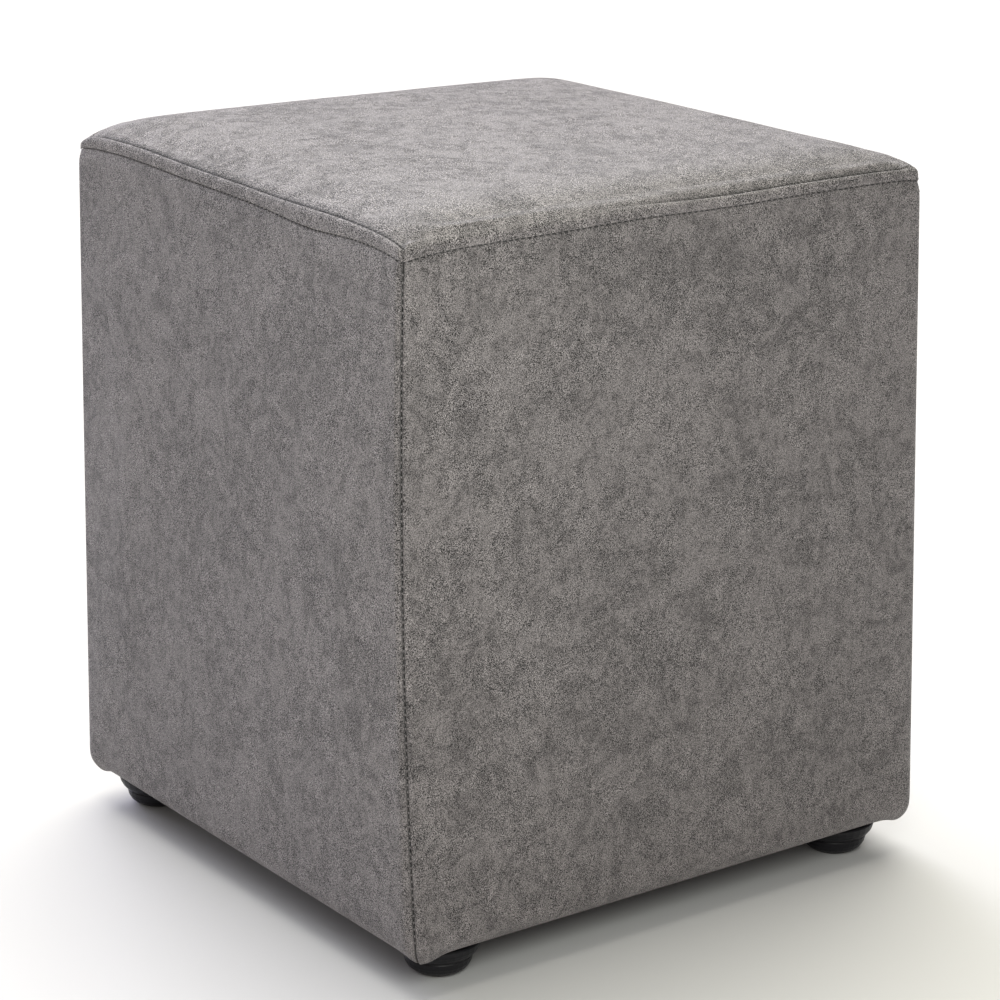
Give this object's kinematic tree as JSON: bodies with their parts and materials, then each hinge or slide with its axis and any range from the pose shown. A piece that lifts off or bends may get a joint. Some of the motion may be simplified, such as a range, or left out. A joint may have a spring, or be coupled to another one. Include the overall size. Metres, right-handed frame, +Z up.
{
  "type": "cube pouf stool",
  "caption": "Box-shaped padded pouf stool with a crowned top, a raised band above its top seam and small round glide feet, for sitting on or resting feet.",
  "frame": {"origin": "on the floor, at the middle of the stool's outline seen from above", "axes": "+Z up; -Y is the front, the side that is wider in the picture; -X is the side that is narrower in the picture, so the corner nearest the camera is at -X -Y"},
  "size_m": [0.3524, 0.3504, 0.4165],
  "materials": {
    "top_panel": "fine short-nap suede-look cloth, mottled light grey where it faces up",
    "side_panel_front": "fine short-nap suede-look cloth, mottled mid grey",
    "side_panel_right": "fine short-nap suede-look cloth, mottled mid grey",
    "side_panel_back": "fine short-nap suede-look cloth, mottled mid grey",
    "side_panel_left": "fine short-nap suede-look cloth, mottled mid grey",
    "base_panel": "plain black dust cover",
    "foot_front_left": "smooth moulded black plastic, satin",
    "foot_front_right": "smooth moulded black plastic, satin",
    "foot_back_left": "smooth moulded black plastic, satin",
    "foot_back_right": "smooth moulded black plastic, satin"
  },
  "bodies": {
    "root": {"top_panel": "top_panel", "side_panel_front": "side_panel_front", "side_panel_right": "side_panel_right", "side_panel_back": "side_panel_back", "side_panel_left": "side_panel_left", "base_panel": "base_panel", "foot_front_left": "foot_front_left", "foot_front_right": "foot_front_right", "foot_back_left": "foot_back_left", "foot_back_right": "foot_back_right"}
  },
  "joints": []
}
